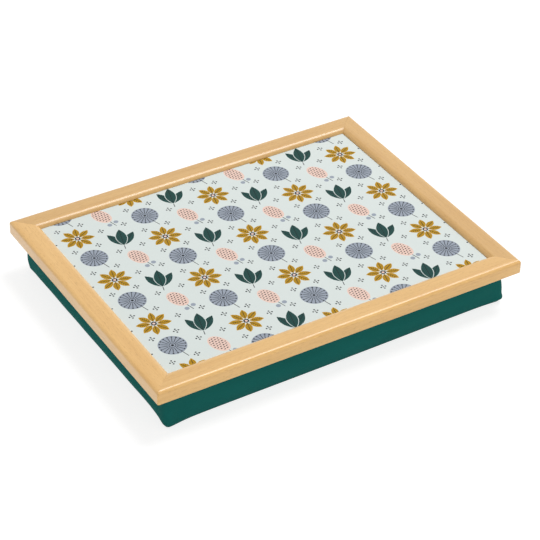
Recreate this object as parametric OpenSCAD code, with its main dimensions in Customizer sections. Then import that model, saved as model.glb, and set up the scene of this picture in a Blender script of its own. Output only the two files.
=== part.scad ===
// Cushioned lap tray: a mitred timber frame round a printed panel, held by hook and loop tape
// on a low bag of beads. +Z is up, +X runs along the long side, and the origin is on the floor
// under the middle of the cushion.

/* [Tray] */
// Length of the tray over the frame
tray_l = 430; // [360:1:540]
// Depth of the tray over the frame
tray_d = 330; // [260:1:420]

/* [Frame moulding] */
// Width of a rail, outer face to lip
rail_w = 25; // [24:0.5:40]
// Height of a rail
rail_h = 15.5; // [15:0.5:24]
// Radius of the rounded outer top edge
edge_r = 3.6; // [2:0.1:5]
// Radius of the slow fall from the flat top to the outer edge
crown_r = 24; // [18:1:40]
// How far the slow fall reaches in from the outer face
crown_run = 7; // [5:0.5:9]
// Radius of the fall from the flat top down to the lip
scoop_r = 7.5; // [6.5:0.5:12]
// Height of the square nose at the end of the lip
nose_h = 0.8; // [0.5:0.1:1.4]
// How far the lip reaches over the panel
lip_w = 5.5; // [4:0.5:8]
// Radius of the eased upright corners
corner_r = 1.2; // [0.6:0.1:3]

/* [Panel] */
// Depth of the panel's face below the top of the frame
recess = 4.6; // [4:0.1:5.4]
// Thickness of the printed laminate
print_t = 0.8; // [0.5:0.1:1.2]
// Thickness of the fibreboard
board_t = 5; // [4:0.5:6]
// Thickness of the balancing paper under the board
backing_t = 0.4; // [0.2:0.1:0.6]
// Gap round the panel inside the rebate
panel_gap = 0.5; // [0.2:0.1:1]

/* [Frame fasteners] */
// Length of each leg of a bent corner nail
nail_leg = 6; // [4:0.5:7]
// Height of a corner nail
nail_h = 10; // [7:1:12]
// Thickness of a corner nail's steel
nail_t = 0.6; // [0.4:0.1:1]
// Angle between a corner nail's leg and the mitre
nail_angle = 60; // [50:5:75]
// Distance of the outer nail from the tip of the mitre
nail_near = 9; // [8:0.5:11]
// Distance of the inner nail from the tip of the mitre
nail_far = 19; // [17:0.5:21]
// Length of a flat point that holds the panel
point_l = 16; // [12:1:18]
// Width of a flat point
point_w = 6; // [4:0.5:8]
// Thickness of a flat point
point_t = 0.8; // [0.5:0.1:1]
// How far a flat point is driven into the rail
point_bite = 8; // [5:1:10]
// Number of points along a long rail
points_long = 4; // [2:1:6]
// Number of points along a short rail
points_short = 3; // [2:1:5]

/* [Hook and loop tape] */
// Width of the tape
tape_w = 25; // [16:1:38]
// Radius of the tape's cut corners
tape_r = 2; // [1:0.5:4]
// Thickness of the hook tape on the tray
hook_t = 1.3; // [1:0.1:1.6]
// Thickness of the loop tape on the cushion
loop_t = 1.2; // [1:0.1:1.6]
// Distance of the tape from the inner wall of the rails
tape_margin = 14; // [12:1:24]
// Gap between the ends of the long and the short tapes
tape_gap = 12; // [6:1:30]
// Width of a staple over its legs
staple_w = 10; // [6:1:12]
// Thickness of the staple wire across its flat
staple_t = 0.6; // [0.4:0.1:0.8]
// Width of the staple wire along its flat
staple_flat = 1.2; // [0.8:0.1:1.4]
// How far a staple goes into the board
staple_bite = 3.4; // [2:0.2:3.6]
// Number of staples in a long tape
staples_long = 4; // [2:1:6]
// Number of staples in a short tape
staples_short = 3; // [2:1:5]

/* [Cushion] */
// Height of the cushion from the floor to the underside of the frame
cushion_h = 43; // [30:1:60]
// How far the cushion's sides stand in from the frame's outer faces
cushion_inset = 12; // [9:0.5:14]
// Radius of the cushion's upright corners
cushion_r = 9; // [6:1:20]
// How far the middle of each side is drawn in
draw_in = 2; // [0:0.5:4]
// Radius of the cushion's rounded lower edge
lower_r = 8; // [6:1:12]
// Radius of the cushion's rounded upper edge under the frame
upper_r = 7; // [5:0.5:7.5]
// How far the filling bulges at half height
bulge = 1; // [0:0.1:2]
// How far a seam pulls the cover in
seam_pull = 0.7; // [0:0.1:1]
// Thickness of the cover cloth
cloth_t = 0.8; // [0.5:0.1:1]
// How deep the floor flattens the underside
floor_flat = 0.5; // [0.3:0.1:0.8]
// Gap between the cushion and the underside of the rails
cushion_gap = 0.4; // [0.3:0.1:1]
// Length of the slope from the shoulder towards the crown
slope_run = 6; // [4:0.5:8]
// How far the flat of the crown reaches out past the tapes
crown_margin = 2.5; // [1:0.5:4]

/* [Hidden] */
$fn = 96;

// How far a cutting shape runs past the face that it cuts
over = 1;

// Section of the moulding: u runs in from the outer face, v runs up from the underside
leg_w = rail_w - lip_w;
lip_under = rail_h - recess;
scoop_drop = recess - nose_h;
scoop_run = sqrt(scoop_r * scoop_r - (scoop_r - scoop_drop) * (scoop_r - scoop_drop));
flat_end = rail_w - scoop_run;
// Centre of the outer edge's arc, which meets the outer face and the slow fall without a step
edge_v = rail_h - crown_r + sqrt(pow(crown_r - edge_r, 2) - pow(crown_run - edge_r, 2));
// Direction from the slow fall's centre to the edge arc's centre, where the two arcs meet
meet_dir = [edge_r - crown_run, edge_v - (rail_h - crown_r)] / (crown_r - edge_r);

// Heights of the tray's layers, up from the underside of the frame
print_low = lip_under - print_t;
board_low = print_low - board_t;
backing_low = board_low - backing_t;
hook_low = backing_low - hook_t;
loop_low = hook_low - loop_t;

// Outline of the panel in its rebate
panel_l = tray_l - 2 * (leg_w + panel_gap);
panel_d = tray_d - 2 * (leg_w + panel_gap);

// Tapes: the long ones run along X at the front and back, the short ones lie between them
tape_y = tray_d / 2 - leg_w - tape_margin - tape_w / 2;
tape_x = tray_l / 2 - leg_w - tape_margin - tape_w / 2;
tape_long = 2 * tape_x + tape_w;
tape_short = 2 * tape_y - tape_w - 2 * tape_gap;
staple_leg = hook_t + backing_t + staple_bite;

// The cushion's outline on the floor plan, and the steps round it
bag_x = tray_l / 2 - cushion_inset;
bag_y = tray_d / 2 - cushion_inset;
corner_steps = 3;
long_steps = 8;
short_steps = 6;
// The least corner radius of a ring drawn far in from the side
ring_r_min = 3;
// Insets from the side, level by level: where the shoulder ends, the crown's slope and its top
shoulder_s = leg_w - cushion_inset;
slope_s = shoulder_s + slope_run;
plateau_s = leg_w + tape_margin - crown_margin - cushion_inset;
shoulder_v = cushion_h - cushion_gap;
plateau_v = cushion_h + loop_low;
lower_v = lower_r - floor_flat;
upper_v = shoulder_v - upper_r;
half = sqrt(0.5);
// How far in from the side the rounded lower edge meets the floor
floor_s = lower_r - sqrt(lower_r * lower_r - lower_v * lower_v);

// Section of the cushion from the floor to the crown, as [inset from the side, height] pairs.
// The seams lie on the diagonals of the lower and upper edges, pulled in along them.
section = [
    [floor_s, 0],
    [lower_r * (1 - half) + seam_pull * half, lower_v - lower_r * half + seam_pull * half],
    [0, lower_v],
    [-bulge, (lower_v + upper_v) / 2],
    [0, upper_v],
    [upper_r * (1 - half) + seam_pull * half, upper_v + upper_r * half - seam_pull * half],
    [shoulder_s, shoulder_v],
    [slope_s, (shoulder_v + 2 * plateau_v) / 3],
    [plateau_s, plateau_v]
];
lower_seam = 1;
upper_seam = 5;
last_ring = len(section) - 1;

// Unit vector square to the way from a to b, on the filling's side of the section
function inward(a, b) = [b[1] - a[1], a[0] - b[0]] / norm(b - a);
// A section point moved in by t, on the mitre of the two stretches that meet there
function deeper(k, t) =
    let (before = k == 0 ? [0, 1] : inward(section[k - 1], section[k]),
         after = k == last_ring ? [0, -1] : inward(section[k], section[k + 1]))
    section[k] + (before + after) * t / (1 + before * after);

// Outline of one ring: rounded corners joined by sides that are drawn in between them
function ring_plan(s) =
    let (r = max(cushion_r - s, ring_r_min),
         cx = bag_x - s - r,
         cy = bag_y - s - r,
         centres = [[cx, cy], [-cx, cy], [-cx, -cy], [cx, -cy]])
    [for (q = [0:3])
        let (c = centres[q],
             next = centres[(q + 1) % 4],
             steps = q % 2 == 0 ? long_steps : short_steps,
             out = [cos(90 * q + 90), sin(90 * q + 90)])
        each concat(
            [for (i = [0:corner_steps]) c + r * [cos(90 * (q + i / corner_steps)),
                                                 sin(90 * (q + i / corner_steps))]],
            [for (i = [1:steps - 1]) c + (next - c) * i / steps
                                     + out * (r - draw_in * pow(sin(180 * i / steps), 2))])];
ring_n = 4 * (corner_steps + 1) + 2 * (long_steps - 1) + 2 * (short_steps - 1);
// A ring of the cushion's surface lying t under the cloth's outer face
function ring(k, t) =
    let (p = deeper(k, t)) [for (q = ring_plan(p[0])) [q[0], q[1], p[1]]];
// Triangles between two rings of points that start at a and b, seen from the side they face
function strip(a, b) =
    [for (i = [0:ring_n - 1]) let (j = (i + 1) % ring_n) each [[a + i, b + i, a + j], [b + i, b + j, a + j]]];
// Triangles that close a ring starting at a onto one middle point
function fan(a, middle) = [for (i = [0:ring_n - 1]) [middle, a + i, a + (i + 1) % ring_n]];
function turned(faces) = [for (f = faces) [f[2], f[1], f[0]]];

// The two rounded falls and the rebate are taken out of a plain bar
module moulding_section() {
    difference() {
        square([rail_w, rail_h]);
        translate([leg_w, -over]) square([lip_w + over, lip_under + over]);
        // slow fall from the flat top towards the outer face
        difference() {
            translate([-over, rail_h - crown_run]) square([crown_run + over, crown_run + over]);
            translate([crown_run, rail_h - crown_r]) circle(crown_r, $fn = 240);
        }
        // rounded outer edge
        difference() {
            polygon([[edge_r, edge_v], [-over, edge_v], [-over, rail_h + crown_run],
                     [edge_r, edge_v] + (edge_r + 2 * over) * meet_dir]);
            translate([edge_r, edge_v]) circle(edge_r);
        }
        // fall to the lip
        difference() {
            translate([flat_end, rail_h - scoop_drop]) square([scoop_run + over, scoop_drop + over]);
            translate([flat_end, rail_h - scoop_r]) circle(scoop_r, $fn = 180);
        }
    }
}

// Plan of a rail of length l: mitred ends, with the outer corners eased
module mitre_plan(l) {
    intersection() {
        polygon([[-l / 2, 0], [l / 2, 0], [l / 2 - rail_w, rail_w], [-l / 2 + rail_w, rail_w]]);
        union() {
            translate([-l / 2 + corner_r, 0]) square([l - 2 * corner_r, rail_w]);
            translate([-l / 2, corner_r]) square([l, rail_w - corner_r]);
            for (side = [-1, 1]) translate([side * (l / 2 - corner_r), corner_r]) circle(corner_r);
        }
    }
}

// A bent nail across the mitre, with its bend towards the tip of the corner
module corner_nail(distance) {
    reach = nail_leg * [cos(nail_angle), sin(nail_angle)];
    depth = nail_t / sin(nail_angle);
    rotate(45) translate([distance, 0]) linear_extrude(nail_h)
        polygon([[0, 0], [reach[0], reach[1]], [reach[0] + depth, reach[1]], [depth, 0],
                 [reach[0] + depth, -reach[1]], [reach[0], -reach[1]]]);
}

// Both nails of the corner at the start of a rail of length l
module nail_pair(l) {
    translate([-l / 2, 0, 0]) {
        corner_nail(nail_near);
        corner_nail(nail_far);
    }
}

// A flat point driven in from the rebate, tip first, under the panel's edge
module panel_point() {
    translate([0, leg_w - point_bite, backing_low - point_t]) linear_extrude(point_t)
        polygon([[0, 0], [point_w / 2, point_w / 2], [point_w / 2, point_l],
                 [-point_w / 2, point_l], [-point_w / 2, point_w / 2]]);
}

// The points of a rail of length l, spread evenly along the rebate
module point_row(l, count) {
    free = l - 2 * rail_w;
    for (i = [1:count]) translate([free * (i - (count + 1) / 2) / count, 0, 0]) panel_point();
}

// One rail along X with its outer face at y = 0 and its underside at z = 0
module rail(l, count) {
    color([0.90, 0.75, 0.55]) difference() {
        intersection() {
            rotate([90, 0, 90]) linear_extrude(l, center = true) moulding_section();
            linear_extrude(rail_h) mitre_plan(l);
        }
        nail_pair(l);
        mirror([1, 0, 0]) nail_pair(l);
        point_row(l, count);
    }
}

// Puts what was drawn for the front rail at the side turned by the given angle
module at_side(turn) {
    reach = turn % 180 == 0 ? tray_d / 2 : tray_l / 2;
    rotate(turn) translate([0, -reach, cushion_h]) children();
}

module front_rail() { at_side(0) rail(tray_l, points_long); }
module right_rail() { at_side(90) rail(tray_d, points_short); }
module back_rail() { at_side(180) rail(tray_l, points_long); }
module left_rail() { at_side(270) rail(tray_d, points_short); }

module corner_nails() {
    color([0.70, 0.71, 0.73]) {
        at_side(0) nail_pair(tray_l);
        at_side(90) nail_pair(tray_d);
        at_side(180) nail_pair(tray_l);
        at_side(270) nail_pair(tray_d);
    }
}

module panel_points() {
    color([0.70, 0.71, 0.73]) {
        at_side(0) point_row(tray_l, points_long);
        at_side(90) point_row(tray_d, points_short);
        at_side(180) point_row(tray_l, points_long);
        at_side(270) point_row(tray_d, points_short);
    }
}

// A sheet of the panel, from the given height over the underside of the frame
module panel_layer(low, thickness) {
    translate([-panel_l / 2, -panel_d / 2, cushion_h + low]) cube([panel_l, panel_d, thickness]);
}

module print_sheet() { color([0.86, 0.89, 0.88]) panel_layer(print_low, print_t); }

module tray_board() {
    color([0.62, 0.47, 0.31]) difference() {
        panel_layer(board_low, board_t);
        tape_staples();
    }
}

module backing_sheet() {
    color([0.78, 0.70, 0.58]) difference() {
        panel_layer(backing_low, backing_t);
        tape_staples();
    }
}

// A strip of tape with round corners, centred on x and y
module tape_strip(l, thickness) {
    linear_extrude(thickness) {
        square([l - 2 * tape_r, tape_w], center = true);
        square([l, tape_w - 2 * tape_r], center = true);
        for (x = [-1, 1], y = [-1, 1])
            translate([x * (l / 2 - tape_r), y * (tape_w / 2 - tape_r)]) circle(tape_r);
    }
}

// Puts a strip drawn along X at the front, right, back or left side, at a height over the floor
module at_tape(turn, height) {
    reach = turn % 180 == 0 ? tape_y : tape_x;
    rotate(turn) translate([0, -reach, height]) children();
}

// A staple with its crown down, flush with the tape's face, and its legs up in the board
module staple() {
    rotate([90, 0, 0]) translate([0, 0, -staple_flat / 2]) linear_extrude(staple_flat)
        polygon([[-staple_w / 2, 0], [staple_w / 2, 0], [staple_w / 2, staple_leg],
                 [staple_w / 2 - staple_t, staple_leg - staple_t], [staple_w / 2 - staple_t, staple_t],
                 [-staple_w / 2 + staple_t, staple_t], [-staple_w / 2 + staple_t, staple_leg - staple_t],
                 [-staple_w / 2, staple_leg]]);
}

// The staples of a tape of length l, each across the tape
module staple_row(l, count) {
    for (i = [1:count]) translate([l * (i - (count + 1) / 2) / count, 0, 0]) rotate(90) staple();
}

module tape_staples() {
    color([0.70, 0.71, 0.73]) {
        at_tape(0, cushion_h + hook_low) staple_row(tape_long, staples_long);
        at_tape(90, cushion_h + hook_low) staple_row(tape_short, staples_short);
        at_tape(180, cushion_h + hook_low) staple_row(tape_long, staples_long);
        at_tape(270, cushion_h + hook_low) staple_row(tape_short, staples_short);
    }
}

module hook_tape(turn, l, count) {
    color([0.12, 0.13, 0.13]) at_tape(turn, cushion_h + hook_low) difference() {
        tape_strip(l, hook_t);
        staple_row(l, count);
    }
}

module loop_tape(turn, l) {
    color([0.13, 0.15, 0.15]) at_tape(turn, cushion_h + loop_low) tape_strip(l, loop_t);
}

module hook_tape_front() { hook_tape(0, tape_long, staples_long); }
module hook_tape_right() { hook_tape(90, tape_short, staples_short); }
module hook_tape_back() { hook_tape(180, tape_long, staples_long); }
module hook_tape_left() { hook_tape(270, tape_short, staples_short); }
module loop_tape_front() { loop_tape(0, tape_long); }
module loop_tape_right() { loop_tape(90, tape_short); }
module loop_tape_back() { loop_tape(180, tape_long); }
module loop_tape_left() { loop_tape(270, tape_short); }

// The beads: everything inside the cover
module bead_fill() {
    points = concat([for (k = [0:last_ring]) each ring(k, cloth_t)],
                    [[0, 0, cloth_t], [0, 0, plateau_v - cloth_t]]);
    base = ring_n * (last_ring + 1);
    color([0.94, 0.94, 0.92]) polyhedron(points, concat(
        turned(fan(0, base)),
        [for (k = [0:last_ring - 1]) each turned(strip(k * ring_n, (k + 1) * ring_n))],
        fan(last_ring * ring_n, base + 1)));
}

// A closed piece of cover between two rings, with its outer face first and its inner face second
module cover(first, last) {
    rows = last - first + 1;
    inner = rows * ring_n;
    outer_end = (rows - 1) * ring_n;
    middles = 2 * inner;
    low_open = first > 0;
    high_open = last < last_ring;
    points = concat([for (k = [first:last]) each ring(k, 0)],
                    [for (k = [first:last]) each ring(k, cloth_t)],
                    low_open ? [] : [[0, 0, 0], [0, 0, cloth_t]],
                    high_open ? [] : [[0, 0, plateau_v], [0, 0, plateau_v - cloth_t]]);
    color([0.07, 0.30, 0.28]) polyhedron(points, concat(
        [for (k = [0:rows - 2]) each turned(strip(k * ring_n, (k + 1) * ring_n))],
        [for (k = [0:rows - 2]) each strip(inner + k * ring_n, inner + (k + 1) * ring_n)],
        low_open ? strip(0, inner) : concat(turned(fan(0, middles)), fan(inner, middles + 1)),
        high_open ? turned(strip(outer_end, inner + outer_end))
                  : concat(fan(outer_end, middles), turned(fan(inner + outer_end, middles + 1)))));
}

module bag_bottom() { cover(0, lower_seam); }
module bag_band() { cover(lower_seam, upper_seam); }
module bag_top() { cover(upper_seam, last_ring); }

front_rail();
back_rail();
left_rail();
right_rail();
corner_nails();
print_sheet();
tray_board();
backing_sheet();
panel_points();
hook_tape_front();
hook_tape_back();
hook_tape_left();
hook_tape_right();
tape_staples();
loop_tape_front();
loop_tape_back();
loop_tape_left();
loop_tape_right();
bag_top();
bag_band();
bag_bottom();
bead_fill();
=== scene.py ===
"""Cushioned lap tray: a printed panel in a mitred timber frame, held by tape on a low cushion of beads."""

import math

import bmesh
import bpy
import numpy as np
from bpy.props import BoolProperty, FloatProperty, FloatVectorProperty, IntProperty, PointerProperty
from mathutils import Matrix, Vector


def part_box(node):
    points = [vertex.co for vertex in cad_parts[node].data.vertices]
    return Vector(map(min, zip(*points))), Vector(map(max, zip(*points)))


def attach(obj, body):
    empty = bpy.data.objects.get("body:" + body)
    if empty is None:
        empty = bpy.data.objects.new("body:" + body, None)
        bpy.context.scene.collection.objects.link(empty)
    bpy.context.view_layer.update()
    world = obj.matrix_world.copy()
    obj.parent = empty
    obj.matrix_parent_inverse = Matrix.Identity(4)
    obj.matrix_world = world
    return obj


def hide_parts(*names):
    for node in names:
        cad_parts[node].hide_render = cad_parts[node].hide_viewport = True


bl_info = {
    "name": "Cushioned Lap Tray",
    "version": (1, 0, 0),
    "blender": (4, 5, 0),
    "location": "3D View > Sidebar > Lap Tray",
    "description": "A printed tray in a mitred timber frame on a low cushion of beads",
    "category": "Object",
}

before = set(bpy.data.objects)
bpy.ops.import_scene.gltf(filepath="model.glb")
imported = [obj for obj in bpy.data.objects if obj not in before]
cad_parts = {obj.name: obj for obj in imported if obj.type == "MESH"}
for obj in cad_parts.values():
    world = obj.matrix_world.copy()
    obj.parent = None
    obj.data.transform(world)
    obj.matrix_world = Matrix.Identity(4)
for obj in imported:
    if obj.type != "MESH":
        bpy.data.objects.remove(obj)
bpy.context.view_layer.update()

MM = 0.001
SIDES = ("front", "right", "back", "left")

# Overall sizes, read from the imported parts
FRONT_LOW, FRONT_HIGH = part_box("front_rail")
TRAY_HALF_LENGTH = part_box("right_rail")[1].x
TRAY_HALF_DEPTH = -FRONT_LOW.y
RAIL_WIDTH = FRONT_HIGH.y - FRONT_LOW.y
RAIL_BASE = FRONT_LOW.z
RAIL_HEIGHT = FRONT_HIGH.z - FRONT_LOW.z
PRINT_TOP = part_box("print_sheet")[1].z
TAPE_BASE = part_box("loop_tape_front")[0].z
BAND_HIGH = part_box("bag_band")[1]

# Height of the cushion's shoulder, just clear of the rails
SHOULDER = RAIL_BASE - 0.4 * MM


def tone(*levels):
    """A colour given as the eight-bit values of a paint chip, turned into scene-linear values."""
    return tuple((c / 255 / 12.92) if c / 255 <= 0.04045 else ((c / 255 + 0.055) / 1.055) ** 2.4
                 for c in levels)


def number_of(name, description, default, low=0.0, **more):
    return FloatProperty(name=name, description=description, default=default, min=low, **more)


def length_of(name, description, millimetres, low=0.0):
    return number_of(name, description, millimetres * MM, low, precision=5, subtype="DISTANCE",
                     unit="LENGTH")


def share_of(name, description, default):
    return number_of(name, description, default, max=1.0, subtype="FACTOR")


def angle_of(name, description, degrees):
    return number_of(name, description, math.radians(degrees), -math.pi, subtype="ANGLE", unit="ROTATION")


def power_of(name, description, watts):
    return number_of(name, description, watts, subtype="POWER", unit="POWER")


def four_of(name, description, *defaults, **more):
    return FloatVectorProperty(name=name, description=description, default=defaults, size=4,
                               min=0.0, **more)


def colour_of(name, description, *levels):
    return FloatVectorProperty(name=name, description=description, default=tone(*levels), size=3,
                               min=0.0, max=1.0, subtype="COLOR")


class LapTrayTimber(bpy.types.PropertyGroup):
    """The moulding of the frame and its lacquered timber."""

    edge_radius: length_of("Edge radius", "Radius of the rounded outer top edge", 3.8)
    crown_radius: length_of("Crown radius", "Radius of the slow fall to the outer edge", 30)
    crown_run: length_of("Crown run", "How far the slow fall reaches in", 7)
    scoop_radius: length_of("Scoop radius", "Radius of the fall down to the lip", 7.5)
    nose_height: length_of("Nose height", "Height of the square nose of the lip", 0.8)
    lip_width: length_of("Lip width", "How far the lip reaches over the panel", 5.5)
    arris_ease: length_of("Arris ease", "How far the sharp edges are sanded back", 0.5)
    corner_radius: length_of("Corner radius", "Radius of the sanded upright corners", 1.4)
    joint_gap: length_of("Joint gap", "Half the gap in a mitre", 0.03)
    joint_ease: length_of("Joint ease", "Depth of the eased edge along a mitre", 0.14)
    nail_stand: length_of("Nail stand", "How far nail ends stand out of the underside", 0.05)
    light_tone: colour_of("Light tone", "Colour of the pale timber", 242, 196, 125)
    dark_tone: colour_of("Dark tone", "Colour of the darker grain", 222, 172, 101)
    fleck_tone: colour_of("Fleck tone", "Colour of the short dark flecks", 184, 132, 66)
    satin: share_of("Satin", "Roughness of the lacquer", 0.34)
    # Painted shade: these factors darken each rail's timber, the right and back rails most, where the
    # light falls off.
    rail_shades: four_of("Boards", "How light the boards of the front, right, back and left rails are",
                    0.945, 0.845, 0.85, 0.99, max=1.0)


class LapTrayPrint(bpy.types.PropertyGroup):
    """The printed laminate and its pattern of blossoms, cups, spoked rounds and pods."""

    column_width: length_of("Column width", "Distance between columns of motifs", 41)
    row_height: length_of("Row height", "Distance between motifs in a column", 42)
    ground: colour_of("Ground", "Colour of the ground", 221, 229, 226)
    mustard: colour_of("Mustard", "Colour of the blossoms", 198, 150, 10)
    mustard_line: colour_of("Mustard line", "Colour of the lines on the blossoms", 70, 54, 14)
    teal: colour_of("Teal", "Colour of the cups", 8, 70, 65)
    teal_line: colour_of("Teal line", "Colour of the lines on the cups", 4, 34, 34)
    slate: colour_of("Slate", "Colour of the spoked rounds", 156, 165, 178)
    blush: colour_of("Blush", "Colour of the pods", 240, 208, 194)
    ink: colour_of("Ink", "Colour of the fine lines", 24, 28, 36)
    gloss: share_of("Gloss", "Roughness of the laminate", 0.36)


class LapTrayCushion(bpy.types.PropertyGroup):
    """The bead cushion's cover and the tapes sewn on it."""

    corner_radius: length_of("Corner radius", "Radius of the upright corners", 6.5)
    bow: length_of("Bow", "How far the middle of each side bows out", 0.5)
    lower_radius: length_of("Lower radius", "Radius of the lower edge", 6)
    upper_radius: length_of("Upper radius", "Radius of the upper edge", 12.5)
    bulge: length_of("Bulge", "How far the filling bulges at half height", 1.5)
    floor_cut: length_of("Floor cut", "How deep the floor flattens the underside", 0.5)
    lower_seam: length_of("Lower seam", "Height of the seam round the bottom panel", 2.34)
    upper_seam: length_of("Upper seam", "Height of the seam round the top panel", 40.05)
    seam_pull: length_of("Seam pull", "How far a seam pulls the cloth in", 0.8)
    seam_reach: length_of("Seam reach", "How far the pull of a seam reaches", 1.6)
    ears: four_of("Ears", "How far the lower corners stick out, from the front left one on by the right",
                  4 * MM, 1.5 * MM, 0.2 * MM, 0.2 * MM, precision=5, unit="LENGTH")
    ear_reach: length_of("Ear reach", "How far along the sides an ear reaches", 24)
    ear_height: length_of("Ear height", "Height at which an ear sticks out most", 5)
    ear_rise: length_of("Ear rise", "How far up the side an ear reaches", 15)
    feet: four_of("Feet", "How far the lower corners are squared, in the order of the ears",
                  0.0, 2.2 * MM, 0.0, 0.0, precision=5, unit="LENGTH")
    foot_height: length_of("Foot height", "Height at which the squared corner sticks out most", 5.5)
    foot_rise: length_of("Foot rise", "How far up and down the squared corner reaches", 4)
    foot_reach: length_of("Foot reach", "How far along the sides the squared corner reaches", 8)
    pucker: length_of("Pucker", "Depth of the soft folds beside a corner", 1.6)
    pucker_place: length_of("Pucker place", "Distance of these folds from the corner", 15)
    pucker_width: length_of("Pucker width", "Half the width of such a fold", 7)
    uneven: length_of("Unevenness", "Depth of the long soft dents between the beads", 0.6)
    turn: angle_of("Turn", "How far the cushion sits turned under the tray", 0.5)
    aside: length_of("Aside", "How far the cushion sits to the right of the tray's middle", 0.9)
    pressure: number_of("Pressure", "Pressure of the filling", 4.0)
    frames: IntProperty(name="Frames", description="Steps of the cloth simulation", default=20, min=2)
    swell_limit: length_of("Swell limit", "The most that a point may swell", 4)
    slack: length_of("Slack", "How much smaller the cover starts", 1.5)
    cloth: colour_of("Cloth", "Colour of the cloth", 26, 105, 99)
    # Painted shade: this darker tone stands for the shade between the yarns and in the seams' grooves, and
    # it also gives the cloth's own random mottling.
    cloth_shade_and_mottle: colour_of("Cloth dark", "Colour between the yarns", 13, 77, 72)
    thread: colour_of("Thread", "Colour of the sewing thread", 30, 34, 36)
    stitch_length: length_of("Stitch length", "Length of one stitch", 2.3)
    stitch_pitch: length_of("Stitch pitch", "Distance between stitches", 3.1)
    fill: share_of("Fill", "How full the cushion is", 0.85)
    simulate: BoolProperty(name="Simulate", description="Blow the cover up as cloth", default=True)


class LapTrayStage(bpy.types.PropertyGroup):
    """The camera, the lamps and the floor."""

    azimuth: angle_of("Azimuth", "Direction of the camera round the tray", -31.749)
    elevation: angle_of("Elevation", "Height of the camera over the floor", 36.268)
    roll: angle_of("Roll", "Turn of the camera about its own axis", 1.093)
    distance: length_of("Distance", "Distance of the camera from its aim", 2120)
    aim_right: length_of("Aim right", "Aim, to the right of the tray's middle", 7.86, low=-1.0)
    aim_up: length_of("Aim up", "Aim, above the middle of the frame's underside", -18.6, low=-1.0)
    lens: number_of("Lens", "Focal length in millimetres", 134.08)
    sky: number_of("Sky", "Strength of the even light", 0.4)
    key_power: power_of("Key", "Power of the softbox overhead", 134.0)
    back_power: power_of("Back", "Power of the wide softbox behind", 1.0)
    front_power: power_of("Front", "Power of the low softbox in front", 8.2)
    side_power: power_of("Side", "Power of the low softbox on the left", 5.2)
    floor_tone: share_of("Floor", "How much light the floor returns", 0.62)


def math_step(operation, reflected=False):
    """A method that adds the Math node of an operation, with its own value first or, reflected, last."""

    def step(self, *others):
        values = (*others, self) if reflected else (self, *others)
        return self.finish.node("ShaderNodeMath", {"operation": operation}, *values)

    return step


class Wire:
    """An output of a shader node. Arithmetic on it adds the Math nodes that work it out."""

    def __init__(self, finish, socket):
        self.finish, self.socket = finish, socket

    __add__ = __radd__ = math_step("ADD")
    __mul__ = __rmul__ = math_step("MULTIPLY")
    __sub__ = math_step("SUBTRACT")
    __rsub__ = math_step("SUBTRACT", reflected=True)
    __truediv__ = math_step("DIVIDE")
    __rtruediv__ = math_step("DIVIDE", reflected=True)
    __mod__ = math_step("FLOORED_MODULO")
    __rmod__ = math_step("FLOORED_MODULO", reflected=True)
    __abs__ = math_step("ABSOLUTE")
    floor = math_step("FLOOR")
    root = math_step("SQRT")
    sine = math_step("SINE")
    cosine = math_step("COSINE")
    angle_over = math_step("ARCTAN2")
    most = math_step("MAXIMUM")
    compare = math_step("COMPARE")

    def ramp(self, low, high):
        """0 below low, 1 above high, and a soft step between them."""
        settings = {"interpolation_type": "SMOOTHSTEP"}
        return self.finish.node("ShaderNodeMapRange", settings, self, low, high, 0.0, 1.0)


class Finish:
    """A new material, or the given owner of a node tree, while its nodes are being laid."""

    def __init__(self, name, owner=None):
        self.owner = owner or bpy.data.materials.new(name)
        self.owner.use_nodes = True
        self.tree = self.owner.node_tree
        self.tree.nodes.clear()

    def node(self, kind, settings=None, *values, output=0, **named):
        """Adds a node, sets its settings, then links or fills its sockets, and returns an output."""
        made = self.tree.nodes.new(kind)
        for key, value in (settings or {}).items():
            setattr(made, key, value)
        sockets = list(enumerate(values)) + [(key.replace("_", " "), v) for key, v in named.items()]
        for key, value in sockets:
            socket = made.inputs[key]
            if isinstance(value, Wire):
                self.tree.links.new(value.socket, socket)
            elif value is not None:
                is_tone = socket.type == "RGBA" and len(value) == 3
                socket.default_value = (*value, 1.0) if is_tone else value
        return Wire(self, made.outputs[output]) if made.outputs else None

    def blend(self, share, first, second):
        """The first colour, going over to the second where the share is 1."""
        skipped = [None] * 5
        return self.node("ShaderNodeMix", {"data_type": "RGBA"}, share, *skipped, first, second, output=2)

    def place(self, scale=(1, 1, 1), shift=(0, 0, 0)):
        """The place on the object in metres, stretched and then shifted."""
        spot = self.node("ShaderNodeTexCoord", output="Object")
        return self.node("ShaderNodeMapping", None, spot, shift, None, scale)

    def parts(self, vector):
        """The three numbers of a vector."""
        split = self.node("ShaderNodeSeparateXYZ", None, vector).socket.node
        return [Wire(self, part) for part in split.outputs]

    def noise(self, place, scale, detail=2.0, roughness=0.5, distortion=0.0):
        return self.node("ShaderNodeTexNoise", None, place, Scale=scale, Detail=detail,
                         Roughness=roughness, Distortion=distortion)

    def relief(self, height, distance, strength):
        """A bump whose full height is the distance in metres."""
        return self.node("ShaderNodeBump", None, Strength=strength, Distance=distance, Height=height)

    def seen(self):
        """1 for the rays of the camera, and for those that a mirror or glass sends on, else 0."""
        camera, mirror, glass = (self.node("ShaderNodeLightPath", output=f"Is {ray} Ray")
                                 for ray in ("Camera", "Glossy", "Transmission"))
        return camera.most(mirror).most(glass)

    def close(self, **sockets):
        """Ends the material in one Principled shader."""
        shader = self.node("ShaderNodeBsdfPrincipled", None, **sockets)
        self.node("ShaderNodeOutputMaterial", None, shader)
        return self.owner


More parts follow.
